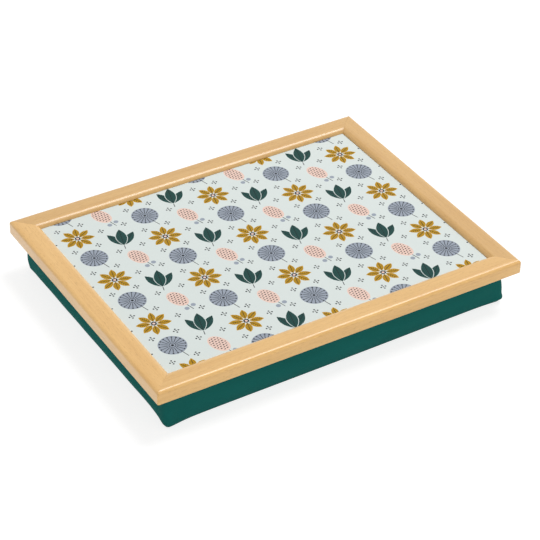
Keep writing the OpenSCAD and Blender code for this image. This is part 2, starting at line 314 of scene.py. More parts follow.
def timber_finish(name, timber, lengthwise, shift, rail_shade):
    """Pale close-grained timber under satin lacquer, with its grain along X or, crosswise, along Y.

    Long streaks come from noise drawn out along the grain, flecks from short noise cut at a threshold.
    Each rail's colours are scaled by a factor of its own, which is painted shade: it darkens the
    right and back rails most, where the light falls off.
    """
    f = Finish(name)
    # The rail's painted shade factor scales all of its colours.
    light, dark, fleck = ([part * rail_shade for part in tint]
                          for tint in (timber.light_tone, timber.dark_tone, timber.fleck_tone))

    def drawn(along, across, detail, roughness, distortion=0.0):
        scale = (along, across, across) if lengthwise else (across, along, across)
        return f.noise(f.place(scale, shift), 1.0, detail, roughness, distortion)

    figure = drawn(7, 95, 3.0, 0.55, 0.4)
    streaks = drawn(16, 620, 3.0, 0.6, 0.15)
    strokes = drawn(170, 1150, 2.0, 0.55, 0.2)
    pores = drawn(320, 2600, 1.0, 0.5)
    broad = drawn(5, 22, 1.0, 0.5)
    grain = figure.ramp(0.34, 0.68) * 0.45 + streaks.ramp(0.32, 0.7) * 0.4 + broad.ramp(0.3, 0.7) * 0.25
    flecks = strokes.ramp(0.55, 0.72) * 0.6 + pores.ramp(0.6, 0.72) * 0.4
    colour = f.blend(flecks * 0.55, f.blend(grain * 0.8, light, dark), fleck)
    rough = streaks * 0.1 + flecks * 0.12 + (timber.satin - 0.06)
    height = streaks * 0.5 - flecks * 0.7
    return f.close(Base_Color=colour, Roughness=rough, IOR=1.45, Specular_IOR_Level=0.3, Coat_Weight=0.8,
                   Coat_IOR=1.5, Coat_Roughness=0.28, Normal=f.relief(height, 0.05 * MM, 0.6))


def turned(points, angle):
    """Points turned about the upright axis."""
    c, s = math.cos(angle), math.sin(angle)
    return points @ np.array([[c, s, 0], [-s, c, 0], [0, 0, 1]])


def side_normals(points):
    """The unit normal on the right of each point of a closed line, square to the way through it."""
    way = np.roll(points, -1, 0) - np.roll(points, 1, 0)
    return np.stack([way[:, 1], -way[:, 0]], 1) / np.linalg.norm(way, axis=1)[:, None]


def run_along(points):
    """Distance of each point of a row from the first, along the row."""
    return np.concatenate([[0], np.cumsum(np.linalg.norm(np.diff(points, axis=0), axis=1))])


def bell(distance, reach):
    """A bell curve: e to the power of minus the square of the distance over the reach."""
    return np.exp(-((distance / reach) ** 2))


def cells(grid):
    """The four corners of each cell of a grid of point numbers or places, in order round it."""
    corners = np.stack([grid[:-1, :-1], grid[:-1, 1:], grid[1:, 1:], grid[1:, :-1]], 2)
    return corners.reshape(-1, *corners.shape[2:])


def tube_numbers(rows, columns):
    """Point numbers of rows of points, each row closed into a ring."""
    numbers = np.arange(rows * columns).reshape(rows, columns)
    return np.concatenate([numbers, numbers[:, :1]], 1)


def moulding_outline(t):
    """The closed section of a rail as rows of (inset from the outer face, height over the underside).

    It runs up the outer face, over the rounded edge's arc, the slow fall's arc, the flat and the
    scoop's arc, down the nose, and back under the lip and the leg. Where two lines meet, a parabola
    that leaves them at the ease's distance takes the sharp corner off.
    """

    def arc(centre, radius, start, end, steps):
        turn = np.radians(np.linspace(start, end, steps))
        return np.stack([centre[0] + radius * np.cos(turn), centre[1] + radius * np.sin(turn)], 1)

    def eased(before, corner, after, ease, steps=5):
        before, corner, after = map(np.asarray, (before, corner, after))
        a, b = (corner + (end - corner) * ease / np.linalg.norm(end - corner) for end in (before, after))
        s = np.linspace(0, 1, steps)[:, None]
        return (1 - s) ** 2 * a + 2 * s * (1 - s) * corner + s**2 * b

    leg = RAIL_WIDTH - t.lip_width
    drop = RAIL_BASE + RAIL_HEIGHT - PRINT_TOP - t.nose_height
    lip_under = RAIL_HEIGHT - drop - t.nose_height
    crown_centre, scoop_centre = RAIL_HEIGHT - t.crown_radius, RAIL_HEIGHT - t.scoop_radius
    run = math.sqrt(t.scoop_radius**2 - (t.scoop_radius - drop) ** 2)
    reach = t.crown_radius - t.edge_radius
    edge_height = crown_centre + math.sqrt(reach**2 - (t.crown_run - t.edge_radius) ** 2)
    meet = math.degrees(math.atan2(edge_height - crown_centre, t.edge_radius - t.crown_run))
    scoop_end = math.degrees(math.acos(run / t.scoop_radius))
    flat_end = RAIL_WIDTH - run
    nose_top, nose_end = (RAIL_WIDTH, RAIL_HEIGHT - drop), (RAIL_WIDTH, lip_under)
    root, foot, outer_foot = (leg, lip_under), (leg, t.nail_stand), (0.0, t.nail_stand)
    flat = np.linspace(t.crown_run, flat_end, 7)[1:-1]
    ease, nose_ease, lip_ease = t.arris_ease, 0.3 * t.nose_height, 0.2 * t.nose_height
    return np.concatenate([
        eased(foot, outer_foot, (0.0, edge_height), ease),
        np.stack([np.zeros(4), np.linspace(2 * ease, edge_height, 5)[:-1]], 1),
        arc((t.edge_radius, edge_height), t.edge_radius, 180, meet, 15),
        arc((t.crown_run, crown_centre), t.crown_radius, meet, 90, 9)[1:],
        np.stack([flat, np.full(len(flat), RAIL_HEIGHT)], 1),
        arc((flat_end, scoop_centre), t.scoop_radius, 90, scoop_end, 14)[:-1],
        eased((flat_end, RAIL_HEIGHT), nose_top, nose_end, nose_ease, 3),
        eased(nose_top, nose_end, root, lip_ease, 3),
        eased(nose_end, root, foot, lip_ease, 3),
        eased(root, foot, outer_foot, ease),
    ])


def rail_surface(t, half_length):
    """Points and faces of one rail along X, its outer face on y = 0, its underside on z = 0.

    The section is carried along the rail. At each end it stops on the mitre's diagonal: a point with
    inset u ends u short of the corner, and one nearer the outer face than the corner's radius turns
    round that radius by an eighth of a circle first. The last section is drawn in by the joint's ease.
    """
    end_steps, middle_steps = 7, 61
    outline = moulding_outline(t)
    eighth = np.radians(np.linspace(0, 45, end_steps))
    setback = t.joint_gap + 2.5 * t.joint_ease * np.linspace(1, 0, end_steps) ** 2
    drawn = t.joint_ease * np.linspace(0, 1, end_steps) ** 6
    straight = 0.5 - 0.5 * np.cos(np.linspace(0, math.pi, middle_steps))

    def end(side):
        section = outline[None] + side_normals(outline)[None] * drawn[:, None, None]
        u, v = section[..., 0], section[..., 1]
        centre = np.maximum(u, t.corner_radius)
        radius = centre - u
        x = half_length - centre + radius * np.sin(eighth)[:, None] - setback[:, None]
        return np.stack([side * x, centre - radius * np.cos(eighth)[:, None], v], -1)

    left, right = end(-1)[::-1], end(1)
    middle = left[-1][None] + (right[0] - left[-1])[None] * straight[1:-1, None, None]
    points = np.concatenate([left, middle, right])
    numbers = tube_numbers(*points.shape[:2])
    caps = [numbers[0, :-1].tolist(), numbers[-1, :-1][::-1].tolist()]
    return points.reshape(-1, 3), cells(numbers).tolist() + caps


def add_object(name, data):
    """A new object in the scene that holds a mesh, a lamp or a camera."""
    made = bpy.data.objects.new(name, data)
    bpy.context.scene.collection.objects.link(made)
    return made


def make_piece(name, points, faces, material, body, sharp=40.0, weave=None, seam=None):
    """A mesh object with its place in its mesh, smooth but for edges sharper than the given angle.

    It can carry a UV map, one row for each face corner, and each point's distance from a seam.
    """
    mesh = bpy.data.meshes.new(name)
    mesh.from_pydata(np.asarray(points, float).tolist(), [], faces)
    if weave is not None:
        mesh.uv_layers.new(name="weave").uv.foreach_set("vector", np.ravel(weave))
        mesh.attributes.new("seam", "FLOAT", "POINT").data.foreach_set("value", np.ravel(seam))
    merged = bmesh.new()
    merged.from_mesh(mesh)
    bmesh.ops.remove_doubles(merged, verts=merged.verts, dist=0.001 * MM)
    bmesh.ops.recalc_face_normals(merged, faces=merged.faces)
    merged.to_mesh(mesh)
    merged.free()
    mesh.polygons.foreach_set("use_smooth", np.ones(len(mesh.polygons), bool))
    mesh.set_sharp_from_angle(angle=math.radians(sharp))
    mesh.materials.append(material)
    piece = add_object(name, mesh)
    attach(piece, body)
    return piece


def repaint(node, material):
    """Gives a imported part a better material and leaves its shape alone."""
    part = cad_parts[node]
    if not part.material_slots:
        part.data.materials.append(material)
    for slot in part.material_slots:
        slot.material = material


# The print's measures are in millimetres, and this is how soft a printed edge is
PRINT_EDGE = 0.3


def filled(inside):
    """1 where the distance inside an outline is above 0."""
    return inside.ramp(-PRINT_EDGE / 2, PRINT_EDGE / 2)


def stroke(distance, width):
    """1 on a line of the given width round a distance of 0."""
    return 1 - abs(distance).ramp(width / 2 - PRINT_EDGE / 3, width / 2 + PRINT_EDGE / 3)


def reach_of(x, y):
    """Distance of a place from the middle."""
    return (x * x + y * y).root()


def leaned(x, y, cosine, sine):
    """A place seen from a motif that leans by the angle with this cosine and sine."""
    return x * cosine + y * sine, y * cosine - x * sine


def petal_of(x, y, start, length, width):
    """How far inside a pointed petal along y a place lies: half its width there, less |x|.

    That half width falls from the petal's middle to its tips with the square of the distance.
    """
    middle = (y - (start + length / 2)) / (length / 2)
    return (1 - middle * middle) * (width / 2) - abs(x)


def folded(x, y, count):
    """A place folded into one of a count of equal sectors, with the sector's middle along y."""
    sector = 2 * math.pi / count
    inner = (x.angle_over(y) + sector / 2) % sector - sector / 2
    radius = reach_of(x, y)
    return radius * inner.sine(), radius * inner.cosine(), radius


def stem_of(x, y, top):
    return stroke(x, 0.8) * filled(y + 20.5) * filled(top - y)


def blossom(p, x, y):
    """Eight pointed petals with a rib and barbs, round a dotted eye."""
    barb_pitch, rib_end, barb_end, eye, pupil = 2.3, 16.5, 15.6, 3.0, 1.5
    x, y, radius = folded(x, y, 8)
    petal = petal_of(x, y, start=3.2, length=15.2, width=7.4)
    rib = stroke(x, 0.7) * filled(rib_end - y) * filled(petal)
    barbs = stroke(((y - abs(x) * 0.9) % barb_pitch) - barb_pitch / 2, 0.62)
    barbs = barbs * filled(petal - 0.45) * filled(barb_end - y)
    return ((filled(petal), p.mustard), (rib.most(barbs * 0.9), p.mustard_line),
            (filled(eye - radius), p.ink), (filled(pupil - radius), p.blush))


def cup(p, x, y):
    """Three veined petals, each inside a rim of the ground, that open from a short stem."""
    base, rim, vein_pitch = 14.0, 0.7, 2.5
    layers = [(stem_of(x, y, -6.0), p.ink)]
    for swing, length, width in ((-33, 26.0, 9.4), (33, 26.0, 9.4), (0, 29.0, 11.5)):
        angle = math.radians(swing)
        px, py = leaned(x, y + base, math.cos(angle), math.sin(angle))
        petal = petal_of(px, py, 0.0, length, width)
        veins = stroke(((py * 0.8 + abs(px) * 1.1) % vein_pitch) - vein_pitch / 2, 0.6)
        rib = stroke(px, 0.75) * filled(petal - 0.4)
        layers += [(filled(petal + rim), p.ground), (filled(petal), p.teal),
                   ((veins * filled(petal - 0.6)).most(rib), p.teal_line)]
    return layers


def spoked_round(p, x, y):
    """A disc on a stem, with eighteen spokes, a bead past each spoke's end, and a ring round a dot."""
    disc, spoke_start, spoke_end, bead_place, bead, ring, dot = 14.6, 4.6, 11.6, 13.0, 0.95, 3.4, 1.5
    stem = stem_of(x, y, -8.0)
    x, y, radius = folded(x, y - 2.5, 18)
    spokes = stroke(x, 0.7) * filled(y - spoke_start) * filled(spoke_end - y)
    beads = filled(bead - reach_of(x, y - bead_place))
    rings = stroke(radius - ring, 0.7).most(filled(dot - radius))
    return (stem, p.ink), (filled(disc - radius), p.slate), (spokes.most(beads).most(rings), p.ink)


def pod(p, x, y):
    """An oval with rows of dashes, each row half a step on, over two small round leaves on a stem."""
    half_width, half_height, rim = 9.0, 13.6, 1.2
    dash_step, row_step, dash_length, dash_width = 3.6, 2.9, 2.0, 1.15
    leaf, leaf_side, leaf_down = 2.6, 4.4, 15.0
    up = y - 3.0
    inside = (1 - reach_of(x / half_width, up / half_height)) * half_width
    level = (up / row_step).floor()
    dash_x = ((x + (level % 2.0) * (dash_step / 2)) % dash_step) - dash_step / 2
    dash_y = (up % row_step) - row_step / 2
    dashes = stroke(dash_x, dash_length) * stroke(dash_y, dash_width) * filled(inside - rim)
    leaves = [(filled(leaf - reach_of(x - side * leaf_side, y + leaf_down)), p.slate) for side in (-1, 1)]
    return [(stem_of(x, y, -6.0), p.ink), (filled(inside), p.blush), (dashes, p.ink), *leaves]


def print_cell(p, x, y, lift):
    """Column, row and the place inside the cell, on a brick-like grid lifted by a share of a cell."""
    width, height = p.column_width / MM, p.row_height / MM
    across = x / width + 0.5
    column = across.floor()
    up = y / height + (column % 2.0) * 0.5 + lift
    row = up.floor()
    return column, row, (across - column - 0.5) * width, (up - row - 0.5) * height


def print_finish(p):
    """A printed laminate: four motifs in turn on a brick-like grid, under a satin wear layer.

    Small crosses of dots, folded from one arm, stand beside the motifs.
    """
    lean_angle, arm, dot, middle_dot = 0.55, 2.6, 0.95, 0.8
    f = Finish("printed_laminate")
    right, up, _ = f.parts(f.node("ShaderNodeTexCoord", output="Object"))
    right, up = right * (1 / MM), up * (1 / MM)
    column, row, x, y = print_cell(p, right, up, 0.0)
    kind = (column + row * 2.0) % 4.0
    lean = ((row + column * 0.5).floor() % 2.0 - 0.5) * lean_angle
    x, y = leaned(x, y, lean.cosine(), lean.sine())
    colour = p.ground
    for number, motif in enumerate((blossom, cup, spoked_round, pod)):
        here = kind.compare(number, 0.5)
        for mask, paint in motif(p, x, y):
            colour = f.blend(mask * here, colour, paint)
    _, _, x, y = print_cell(p, right, up, 0.5)
    x, y, radius = folded(abs(x) - p.column_width / MM / 3, y, 4)
    dots = filled(dot - reach_of(x, y - arm)).most(filled(middle_dot - radius))
    haze = f.noise(f.place(), 900.0)
    rough = f.noise(f.place(), 14.0) * 0.08 + haze * 0.05 + (p.gloss - 0.065)
    return f.close(Base_Color=f.blend(dots, colour, p.ink), Roughness=rough, Specular_IOR_Level=0.15,
                   Normal=f.relief(haze, 0.02 * MM, 0.25))


def board_finish():
    """Pressed fibre: a brown ground with short darker and lighter fibres."""
    f = Finish("fibreboard")
    fibres = f.noise(f.place((1400, 260, 900)), 1.0, 3.0, 0.65, 0.6)
    crossing = f.noise(f.place((240, 1300, 800)), 1.0, 3.0, 0.65, 0.6)
    clouds = f.noise(f.place(), 60.0)
    mix = fibres.ramp(0.35, 0.7) * 0.5 + crossing.ramp(0.35, 0.7) * 0.5
    colour = f.blend(mix * 0.7 + clouds * 0.2, tone(150, 112, 74), tone(196, 158, 112))
    return f.close(Base_Color=colour, Roughness=mix * 0.1 + 0.78, Normal=f.relief(mix, 0.12 * MM, 0.8))


def paper_finish():
    """Brown balancing paper: clouded pulp with a few darker specks."""
    f = Finish("backing_paper")
    pulp = f.noise(f.place(), 420.0, 3.0, 0.6)
    clouds = f.noise(f.place(), 24.0, 3.0, 0.55)
    specks = f.noise(f.place((1, 2.5, 1)), 1500.0, 1.0).ramp(0.66, 0.74)
    colour = f.blend(clouds.ramp(0.3, 0.7) * 0.5 + pulp * 0.3, tone(205, 187, 158), tone(184, 162, 130))
    colour = f.blend(specks * 0.5, colour, tone(120, 98, 70))
    return f.close(Base_Color=colour, Roughness=pulp * 0.12 + 0.72, Normal=f.relief(pulp, 0.03 * MM, 0.5))


def steel_finish():
    """Zinc-plated steel with a fine drawn grain and dull patches."""
    f = Finish("fastener_steel")
    drawn = f.noise(f.place((300, 300, 6000)), 1.0)
    patches = f.noise(f.place(), 700.0, 3.0, 0.6)
    colour = f.blend(patches.ramp(0.35, 0.7), tone(214, 216, 220), tone(176, 180, 188))
    return f.close(Base_Color=colour, Metallic=1.0, Roughness=patches * 0.25 + drawn * 0.1 + 0.18,
                   Normal=f.relief(drawn, 0.01 * MM, 0.4))


def hook_finish():
    """Hook tape: a woven ground with straight rows of stiff hooks, two sine waves multiplied."""
    hook_pitch = 1.5 * MM
    f = Finish("hook_tape")
    across, along = ((part * (2 * math.pi / hook_pitch)).sine() for part in f.parts(f.place())[:2])
    hooks = (across * along).ramp(0.2, 0.8)
    fuzz = f.noise(f.place(), 5200.0)
    colour = f.blend(hooks * 0.8 + fuzz * 0.2, tone(26, 28, 30), tone(74, 78, 82))
    return f.close(Base_Color=colour, Roughness=fuzz * 0.2 + 0.45,
                   Normal=f.relief(hooks + fuzz * 0.3, 0.45 * MM, 0.9))


def loop_finish():
    """Loop tape: a dark brushed nap with lighter curls."""
    f = Finish("loop_tape")
    curls = f.noise(f.place(), 1900.0, 4.0, 0.7, 1.6)
    nap = f.noise(f.place(), 160.0)
    colour = f.blend(curls.ramp(0.35, 0.75) * 0.7 + nap * 0.2, tone(28, 32, 33), tone(82, 88, 90))
    return f.close(Base_Color=colour, Roughness=0.9, Sheen_Weight=0.3, Sheen_Roughness=0.5,
                   Normal=f.relief(curls, 0.4 * MM, 1.0))


def thread_finish(colour):
    """Sewing thread: two twisted plies."""
    twist_pitch = 0.5 * MM
    f = Finish("sewing_thread")
    x, y, z = f.parts(f.place())
    twist = ((x + y + z) * (2 * math.pi / twist_pitch)).sine() * 0.5 + 0.5
    paint = f.blend(twist * 0.5, colour, tone(70, 76, 80))
    return f.close(Base_Color=paint, Roughness=twist * 0.1 + 0.5, Normal=f.relief(twist, 0.05 * MM, 0.6))


def cloth_finish(c):
    """Plain-woven cloth on the piece's own UV, which is in metres along and across the weave.

    Warp and weft are two sine waves, of which a slower pair shows one or the other, and the darker
    colour between the yarns is painted shade. Beside a seam the cloth gathers in short folds square to
    it, which fade with the distance that the seam attribute holds, and a darker band along the seam is
    painted shade in its groove.
    """
    weave_pitch, gather_reach, seam_shade_reach = 0.75 * MM, 7 * MM, 0.7 * MM
    f = Finish("cover_cloth")
    u, v, _ = f.parts(f.node("ShaderNodeUVMap", {"uv_map": "weave"}))
    seam = f.node("ShaderNodeAttribute", {"attribute_name": "seam"}, output="Fac")
    turn = 2 * math.pi / weave_pitch
    over = ((u * (turn / 2)).sine() * (v * (turn / 2)).sine()).ramp(-0.1, 0.1)
    yarn_shade_and_relief = abs((u * turn).sine()) * over + abs((v * turn).sine()) * (1 - over)
    slubs = f.noise(f.place(), 900.0, 2.0, 0.6)
    clouds = f.noise(f.place(), 11.0, 3.0, 0.5)
    gathers = f.noise(f.node("ShaderNodeCombineXYZ", None, u * 260.0, v * 30.0, 0.0), 1.0)
    near, seam_shade = 1 - seam.ramp(0.0, gather_reach), 1 - seam.ramp(0.0, seam_shade_reach)
    # Painted shade: the yarn share darkens the cloth between the yarns; the slubs and clouds are the
    # cloth's own mottling.
    colour = f.blend(yarn_shade_and_relief * 0.35 + slubs * 0.35 + clouds * 0.25, c.cloth_shade_and_mottle, c.cloth)
    # Painted shade: a darker band along each seam stands for the shade in its groove.
    colour = f.blend(seam_shade * 0.75, colour, [0.45 * part for part in c.cloth_shade_and_mottle])
    height = yarn_shade_and_relief * 0.16 + slubs * 0.1 + gathers * near * 1.6
    return f.close(Base_Color=colour, Roughness=slubs * 0.08 + 0.8, Specular_IOR_Level=0.12,
                   Sheen_Weight=0.06, Sheen_Roughness=0.4, Sheen_Tint=tone(70, 190, 178),
                   Normal=f.relief(height, 0.3 * MM, 0.8))


def outline_rings(section, c, counts, slack=0.0):
    """Rings of points round the cushion, one for each (inset, height) of the section.

    Each side runs from one corner's middle to the next: an eighth of a circle, a straight bowed out
    by a squared sine, and an eighth of a circle. Steps are closer together near the corners.
    """
    bunching, least_radius = 0.62, 3 * MM
    half_sizes = (BAND_HIGH.x - c.bulge, BAND_HIGH.y - c.bulge)
    inset, height = section[:, :1] + slack, section[:, 1:]
    radius = np.maximum(c.corner_radius - inset, least_radius)
    sides = []
    for side in range(4):
        along_half, out_half = half_sizes[side % 2], half_sizes[1 - side % 2]
        even = np.arange(counts[side % 2])[None] / counts[side % 2]
        step = even - bunching * np.sin(2 * math.pi * even) / (2 * math.pi)
        centre_along, centre_out = along_half - inset - radius, out_half - inset - radius
        straight, eighth = 2 * centre_along, radius * math.pi / 4
        s = step * (straight + 2 * eighth) - eighth
        turn = (np.maximum(s - straight, 0) + np.minimum(s, 0)) / radius
        on = np.clip(s, 0, straight)
        along = on - centre_along + radius * np.sin(turn)
        out = centre_out + radius * np.cos(turn) + c.bow * np.sin(math.pi * on / straight) ** 2
        ring = np.stack([along, -out, np.broadcast_to(height, along.shape)], -1)
        sides.append(turned(ring, side * math.pi / 2))
    return np.concatenate(sides, 1)


def cover_section(c, step):
    """The cover's section from the floor's contact to the crown, as rows of (inset, height).

    A lower arc cut flat by the floor, a side that bulges along a sine, an upper arc, and a slow
    S-curve from the shoulder under the rails up to the crown under the tapes.
    """
    crest_run = 12 * MM

    def shares(length, least):
        """Shares from 0 to 1 of a stretch, about a step apart."""
        return np.linspace(0, 1, max(int(length / step), least) + 1)[1:]

    edge_of_rebate = RAIL_WIDTH - bpy.context.scene.lap_tray_timber.lip_width
    side_inset = TRAY_HALF_LENGTH - (BAND_HIGH.x - c.bulge)
    lower, upper = c.lower_radius - c.floor_cut, SHOULDER - c.upper_radius
    first, quarter = math.acos(lower / c.lower_radius), math.pi / 2
    turn = np.linspace(first, quarter, max(int(c.lower_radius * quarter / step), 4))
    low = np.stack([c.lower_radius * (1 - np.sin(turn)), lower - c.lower_radius * np.cos(turn)], 1)
    rise = shares(upper - lower, 3)
    side = np.stack([-c.bulge * np.sin(math.pi * rise), lower + (upper - lower) * rise], 1)
    turn = np.linspace(0, quarter, max(int(c.upper_radius * quarter / step), 4))[1:]
    high = np.stack([c.upper_radius * (1 - np.cos(turn)), upper + c.upper_radius * np.sin(turn)], 1)
    start, end = c.upper_radius, edge_of_rebate + crest_run - side_inset
    run = shares(end - start, 4)
    crest = np.stack([start + (end - start) * run,
                      SHOULDER + (TAPE_BASE - SHOULDER) * (3 * run**2 - 2 * run**3)], 1)
    return np.concatenate([low, side, high, crest])


def seam_gaps(section, c):
    """Each level's distance along the section from the lower and from the upper seam."""
    run = run_along(section)
    rising = section[:, 1] < RAIL_BASE - 1 * MM
    return [abs(run - np.interp(height, section[rising, 1], run[rising]))
            for height in (c.lower_seam, c.upper_seam)]


def spread(count, places, around):
    """Weights that carry values from a count of even stations to places between them.

    They are those of a Catmull-Rom spline, which passes through every station.
    """
    base = np.floor(places).astype(int)
    t = places - base
    weights = ((-t + 2 * t**2 - t**3) / 2, (2 - 5 * t**2 + 3 * t**3) / 2,
               (t + 4 * t**2 - 3 * t**3) / 2, (t**3 - t**2) / 2)
    table = np.zeros((len(places), count))
    for step, weight in enumerate(weights):
        index = base + step - 1
        index = index % count if around else np.clip(index, 0, count - 1)
        np.add.at(table, (np.arange(len(places)), index), weight)
    return table


def ring_sides(ring, counts):
    """A ring's front, right, back and left side, each from its left or its front end."""
    nx, ny = counts
    ring = np.concatenate([ring, ring[:1]])
    return (ring[:nx + 1], ring[nx:nx + ny + 1],
            ring[nx + ny:2 * nx + ny + 1][::-1], ring[2 * nx + ny:][::-1])


def panel_inside(ring, counts):
    """Points inside a level ring, spread between its four sides as a Coons patch.

    That is the blend of front and back, plus the blend of left and right, less the blend of corners.
    """
    front, right, back, left = ring_sides(ring, counts)
    s = np.linspace(0, 1, counts[0] + 1)[None, :, None]
    t = np.linspace(0, 1, counts[1] + 1)[:, None, None]
    corners = ((1 - s) * (1 - t) * front[0] + s * (1 - t) * front[-1]
               + (1 - s) * t * back[0] + s * t * back[-1])
    grid = (1 - t) * front[None] + t * back[None] + (1 - s) * left[:, None] + s * right[:, None] - corners
    grid[..., 2] = ring[0, 2]
    return grid[1:-1, 1:-1].reshape(-1, 3)


def panel_numbers(first_of_ring, first_inside, counts):
    """Point numbers of a panel's grid, whose border is a ring of the outline."""
    nx, ny = counts
    numbers = np.zeros((ny + 1, nx + 1), int)
    sides = ring_sides(first_of_ring + np.arange(2 * (nx + ny)), counts)
    numbers[0], numbers[:, -1], numbers[-1], numbers[:, 0] = sides
    numbers[1:-1, 1:-1] = first_inside + np.arange((nx - 1) * (ny - 1)).reshape(ny - 1, nx - 1)
    return numbers


def cover_surface(rings, counts):
    """Points of the whole cover, and the grids of point numbers of its side, its bottom and its top."""
    levels, around = rings.shape[:2]
    side = levels * around
    bottom_points, top_points = panel_inside(rings[0], counts), panel_inside(rings[-1], counts)
    points = np.concatenate([rings.reshape(-1, 3), bottom_points, top_points])
    bottom = panel_numbers(0, side, counts)[:, ::-1]
    top = panel_numbers(side - around, side + len(bottom_points), counts)
    return points, (tube_numbers(levels, around), bottom, top)


def swell(rings, counts, c):
    """How far each ring point moves when the filling presses the cover out as cloth.

    The lowest level, those at the crown and both panels are held. No point goes past the swell limit.
    """
    held_at_crown = 4
    stiffness = {"tension": 18, "compression": 18, "shear": 8, "bending": 0.4}
    levels, around = rings.shape[:2]
    points, grids = cover_surface(rings, counts)
    mesh = bpy.data.meshes.new("cover_trial")
    mesh.from_pydata(points.tolist(), [], np.concatenate([cells(grid) for grid in grids]).tolist())
    trial = add_object("cover_trial", mesh)
    free = np.arange(around, (levels - held_at_crown) * around)
    held = np.setdiff1d(np.arange(len(points)), free)
    trial.vertex_groups.new(name="held").add(held.tolist(), 1.0, "REPLACE")
    cloth = trial.modifiers.new("cloth", "CLOTH")
    cloth.settings.quality, cloth.settings.mass = 6, 0.25
    for name, value in stiffness.items():
        setattr(cloth.settings, f"{name}_stiffness", value)
    cloth.settings.use_pressure = True
    cloth.settings.uniform_pressure_force = c.pressure
    cloth.settings.effector_weights.gravity = 0.0
    cloth.settings.vertex_group_mass = "held"
    cloth.collision_settings.use_collision = False
    cloth.point_cache.frame_start, cloth.point_cache.frame_end = 1, c.frames
    for step in range(1, c.frames + 1):
        bpy.context.scene.frame_set(step)
    ready = trial.evaluated_get(bpy.context.evaluated_depsgraph_get()).data
    moved = np.zeros(points.size)
    ready.vertices.foreach_get("co", moved)
    bpy.data.objects.remove(trial)
    bpy.data.meshes.remove(mesh)
    bpy.context.scene.frame_set(1)
    move = (moved.reshape(-1, 3) - points)[: levels * around]
    far = np.linalg.norm(move, axis=1, keepdims=True)
    return (move * c.swell_limit / np.maximum(far, c.swell_limit)).reshape(rings.shape)


class LAPTRAY_OT_stage(bpy.types.Operator):
    """Sets up the floor, the lamps and the camera"""

    bl_idname = "lap_tray.stage"
    bl_label = "Stage"

    def execute(self, context):
        s = context.scene.lap_tray_stage
        self.make_camera(context, s)
        self.make_world(context, s)
        self.make_floor(s)
        self.make_lamp("key_softbox", s.key_power, (2.1, 2.1), spot=(1.8, 0.54, 4.14), mirrored=True)
        self.make_lamp("back_softbox", s.back_power, (1.7, 1.1), spot=(0.85, 1.37, 1.18))
        self.make_lamp("front_softbox", s.front_power, (1.6, 0.1), spot=(0.1, -1.6, 0.05))
        self.make_lamp("side_softbox", s.side_power, (1.4, 0.1), spot=(-1.6, -0.15, 0.05))
        context.scene.view_settings.view_transform = "Standard"
        return {"FINISHED"}

    def make_camera(self, context, s):
        """The camera looks at its aim from the given direction, turned about its own axis."""
        back = Vector((math.sin(s.azimuth) * math.cos(s.elevation),
                       -math.cos(s.azimuth) * math.cos(s.elevation), math.sin(s.elevation)))
        level = Vector((math.cos(s.azimuth), math.sin(s.azimuth), 0))
        upward = back.cross(level)
        right = level * math.cos(s.roll) + upward * math.sin(s.roll)
        up = upward * math.cos(s.roll) - level * math.sin(s.roll)
        spot = Vector((0, 0, RAIL_BASE)) + right * s.aim_right + up * s.aim_up + back * s.distance
        data = bpy.data.cameras.new("camera")
        data.lens, data.sensor_width, data.sensor_fit = s.lens, 36.0, "HORIZONTAL"
        data.clip_start, data.clip_end = 0.05, 30.0
        camera = add_object("camera", data)
        camera.matrix_world = Matrix.Translation(spot) @ Matrix((right, up, back)).transposed().to_4x4()
        context.scene.camera = camera

    def make_world(self, context, s):
        """Even light on everything, and white where the camera or a mirror sees past the floor."""
        context.scene.world = context.scene.world or bpy.data.worlds.new("world")
        f = Finish("world", context.scene.world)
        strength = f.node("ShaderNodeMapRange", None, f.seen(), To_Min=s.sky, To_Max=1.0)
        sky = f.node("ShaderNodeBackground", None, (1, 1, 1), strength)
        f.node("ShaderNodeOutputWorld", None, sky)

    def make_floor(self, s):
        """A pale floor that shows white to the camera outside the shadow of the object."""
        half_size, depth = 6.0, -0.15 * MM
        seen_tone, seen_glow = 0.36, 0.8
        f = Finish("floor")
        plain = f.node("ShaderNodeBsdfDiffuse", None, [s.floor_tone] * 3)
        shade = f.node("ShaderNodeBsdfDiffuse", None, [seen_tone] * 3)
        glow = f.node("ShaderNodeEmission", None, (1, 1, 1), seen_glow)
        seen = f.node("ShaderNodeAddShader", None, shade, glow)
        mixed = f.node("ShaderNodeMixShader", None, f.seen(), plain, seen)
        f.node("ShaderNodeOutputMaterial", None, mixed)
        mesh = bpy.data.meshes.new("floor")
        mesh.from_pydata([(x * half_size, y * half_size, depth)
                          for x, y in ((-1, -1), (1, -1), (1, 1), (-1, 1))], [], [(0, 1, 2, 3)])
        mesh.materials.append(f.owner)
        add_object("floor", mesh)

    def make_lamp(self, name, power, size, spot, mirrored=False):
        """A softbox that faces the middle of the tray, and that glossy finishes mirror or don't."""
        data = bpy.data.lights.new(name, "AREA")
        data.energy, data.shape, (data.size, data.size_y) = power, "RECTANGLE", size
        lamp = add_object(name, data)
        lamp.location = spot
        lamp.visible_camera, lamp.visible_glossy = False, mirrored
        lamp.rotation_mode = "QUATERNION"
        lamp.rotation_quaternion = (Vector((0, 0, RAIL_BASE)) - Vector(spot)).to_track_quat("-Z", "Y")


